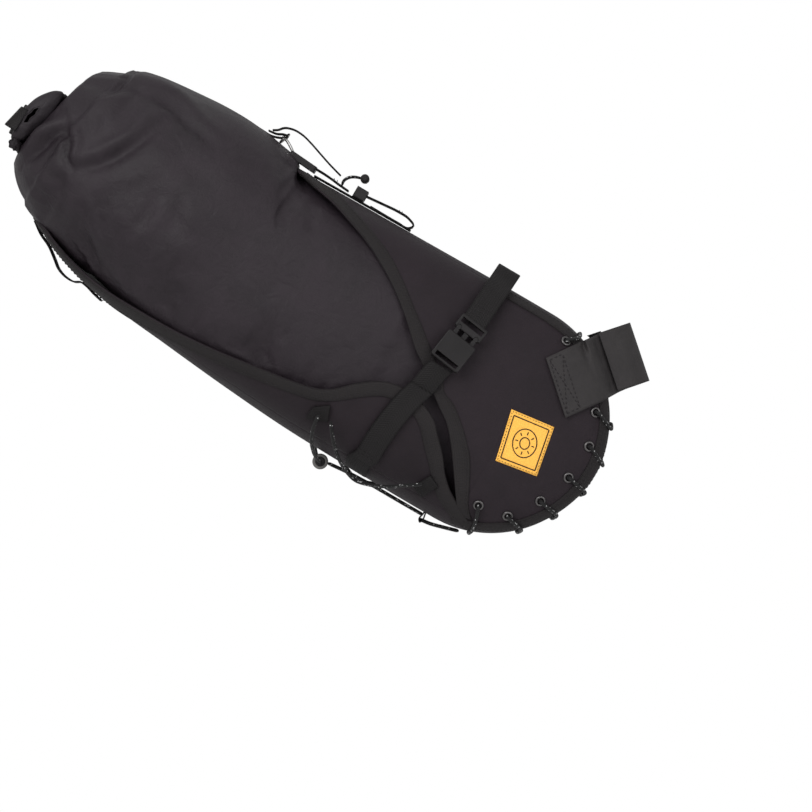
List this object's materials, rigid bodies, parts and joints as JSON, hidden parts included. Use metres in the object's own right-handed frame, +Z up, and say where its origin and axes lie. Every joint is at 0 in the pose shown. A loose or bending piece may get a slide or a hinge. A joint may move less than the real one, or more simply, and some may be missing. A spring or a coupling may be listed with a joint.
{
  "type": "saddle bag",
  "caption": "Under-saddle bicycle bag: laced fabric holster strapped to the rails and seatpost, holding a removable roll-top dry bag on a stiffened tongue.",
  "frame": {"origin": "on the seatpost axis at mid height of the seatpost strap", "axes": "+X forward along the bicycle, +Y to the rider's left, +Z up; the bag rises rearwards at 30.5 degrees and the post leans back 18.5 degrees"},
  "size_m": [0.5193, 0.1666, 0.3769],
  "materials": {
    "holster_cloth": "coarse matte woven nylon, charcoal",
    "binding_tape": "ribbed grosgrain tape, charcoal",
    "eyelet_metal": "nickel-plated, slightly dulled",
    "wire_metal": "bright steel wire",
    "black_plastic": "moulded acetal, fine satin grain",
    "grey_plastic": "moulded acetal",
    "strap_hypalon": "rubber-coated cloth, matte",
    "hook_fastener": "nylon hook tape",
    "grip_rubber": "ribbed soft rubber",
    "label_cloth": "woven patch with a plain geometric border",
    "dry_bag_cloth": "smooth coated nylon with a soft sheen",
    "stiffener_sheet": "flat sheet",
    "flecked_cord": "braided elastic cord with pale reflective flecks",
    "webbing": "ribbed nylon webbing"
  },
  "bodies": {
    "holster": {"side_panel_right": "holster_cloth", "wing_panel_right": "holster_cloth", "front_binding_right": "binding_tape", "wing_binding_right": "binding_tape", "nose_binding_right": "binding_tape", "side_webbing_right": "webbing", "buckle_right_socket": "black_plastic", "post_patch_right": "strap_hypalon", "post_strap_right": "strap_hypalon", "side_panel_left": "holster_cloth", "wing_panel_left": "holster_cloth", "front_binding_left": "binding_tape", "wing_binding_left": "binding_tape", "nose_binding_left": "binding_tape", "side_webbing_left": "webbing", "buckle_left_socket": "black_plastic", "post_patch_left": "strap_hypalon", "post_strap_left": "strap_hypalon", "top_panel": "holster_cloth", "nose_gusset": "holster_cloth", "base_panel": "holster_cloth", "base_stiffener": "stiffener_sheet", "eyelets": "eyelet_metal", "nose_lace": "flecked_cord", "label_patch": "label_cloth", "post_pad": "grip_rubber", "hook_patch": "hook_fastener", "cord_tabs": "webbing", "base_cord": "flecked_cord", "cord_lock": "black_plastic", "rear_loop": "webbing", "top_webbing": "webbing", "tension_webbing": "webbing", "tail_loop": "webbing", "keeper": "black_plastic", "toggle_cord": "flecked_cord", "toggle_barrel": "black_plastic"},
    "dry_bag_body": {"dry_bag": "dry_bag_cloth", "dry_bag_tab": "webbing", "dry_bag_tail": "webbing", "dry_bag_ring": "wire_metal"},
    "roll": {"roll_top": "dry_bag_cloth", "roll_buckle_socket": "black_plastic"},
    "roll_plug": {"roll_buckle_plug": "black_plastic"},
    "roll_arm_a": {"roll_buckle_arm_a": "black_plastic"},
    "roll_arm_b": {"roll_buckle_arm_b": "black_plastic"},
    "post_flap": {"post_strap_flap": "strap_hypalon"},
    "cord_lock_push": {"cord_lock_button": "grey_plastic"},
    "toggle_push": {"toggle_button": "grey_plastic"},
    "ladder_lock_body": {"ladder_lock": "black_plastic"},
    "hook": {"top_hook": "wire_metal"},
    "side_strap_right": {"buckle_right_plug": "black_plastic", "rail_webbing_right": "webbing"},
    "arm_a_right": {"buckle_right_arm_a": "black_plastic"},
    "arm_b_right": {"buckle_right_arm_b": "black_plastic"},
    "side_strap_left": {"buckle_left_plug": "black_plastic", "rail_webbing_left": "webbing"},
    "arm_a_left": {"buckle_left_arm_a": "black_plastic"},
    "arm_b_left": {"buckle_left_arm_b": "black_plastic"}
  },
  "joints": [
    {"name": "dry_bag_slide", "type": "slide", "parent": "holster", "child": "dry_bag_body", "axis": [-0.666, 0, 0.746], "range_m": [0, 0.36]},
    {"name": "roll_hinge", "type": "hinge", "parent": "dry_bag_body", "child": "roll", "pos_m": [-0.48488, 0, 0.16325], "axis": [0, -1, 0], "range_deg": [0, 80]},
    {"name": "roll_plug_slide", "type": "slide", "parent": "roll", "child": "roll_plug", "axis": [0, 1, 0], "range_m": [0, 0.026]},
    {"name": "side_plug_slide_right", "type": "slide", "parent": "holster", "child": "side_strap_right", "axis": [0.6179, 0.121, 0.7769], "range_m": [0, 0.026]},
    {"name": "side_plug_slide_left", "type": "slide", "parent": "holster", "child": "side_strap_left", "axis": [0.6179, -0.121, 0.7769], "range_m": [0, 0.026]},
    {"name": "press_roll_arm_a", "type": "hinge", "parent": "roll_plug", "child": "roll_arm_a", "pos_m": [-0.48746, 0.0009, 0.18114], "axis": [-0.8616, 0, 0.5075], "range_deg": [0, 5], "stiffness_Nm_per_rad": 0.02},
    {"name": "press_roll_arm_b", "type": "hinge", "parent": "roll_plug", "child": "roll_arm_b", "pos_m": [-0.47893, 0.0009, 0.19561], "axis": [0.8616, 0, -0.5075], "range_deg": [0, 5], "stiffness_Nm_per_rad": 0.02},
    {"name": "press_arm_a_right", "type": "hinge", "parent": "side_strap_right", "child": "arm_a_right", "pos_m": [-0.13072, -0.07365, 0.02126], "axis": [0.0753, -0.9927, 0.0947], "range_deg": [0, 5], "stiffness_Nm_per_rad": 0.02},
    {"name": "press_arm_b_right", "type": "hinge", "parent": "side_strap_right", "child": "arm_b_right", "pos_m": [-0.11757, -0.07365, 0.0108], "axis": [-0.0753, 0.9927, -0.0947], "range_deg": [0, 5], "stiffness_Nm_per_rad": 0.02},
    {"name": "press_arm_a_left", "type": "hinge", "parent": "side_strap_left", "child": "arm_a_left", "pos_m": [-0.11757, 0.07365, 0.0108], "axis": [0.0753, 0.9927, 0.0947], "range_deg": [0, 5], "stiffness_Nm_per_rad": 0.02},
    {"name": "press_arm_b_left", "type": "hinge", "parent": "side_strap_left", "child": "arm_b_left", "pos_m": [-0.13072, 0.07365, 0.02126], "axis": [-0.0753, -0.9927, -0.0947], "range_deg": [0, 5], "stiffness_Nm_per_rad": 0.02},
    {"name": "post_flap_hinge", "type": "hinge", "parent": "holster", "child": "post_flap", "pos_m": [0.01404, 0.00804, 0.0047], "axis": [-0.3173, 0, 0.9483], "range_deg": [0, 110]},
    {"name": "cord_lock_press", "type": "slide", "parent": "holster", "child": "cord_lock_push", "axis": [0, 1, 0], "range_m": [0, 0.004], "stiffness_N_per_m": 300},
    {"name": "toggle_press", "type": "slide", "parent": "holster", "child": "toggle_push", "axis": [0, 1, 0], "range_m": [0, 0.004], "stiffness_N_per_m": 300},
    {"name": "ladder_lock_tilt", "type": "hinge", "parent": "holster", "child": "ladder_lock_body", "pos_m": [-0.26378, 0, 0.16244], "axis": [0, -1, 0], "range_deg": [0, 26]},
    {"name": "hook_swing", "type": "hinge", "parent": "holster", "child": "hook", "pos_m": [-0.26378, 0, 0.16244], "axis": [0, -1, 0], "range_deg": [0, 6]}
  ],
  "couplings": [
    {"joint": "press_roll_arm_b", "follows": "press_roll_arm_a", "ratio": 1},
    {"joint": "press_arm_b_right", "follows": "press_arm_a_right", "ratio": 1},
    {"joint": "press_arm_b_left", "follows": "press_arm_a_left", "ratio": 1}
  ]
}
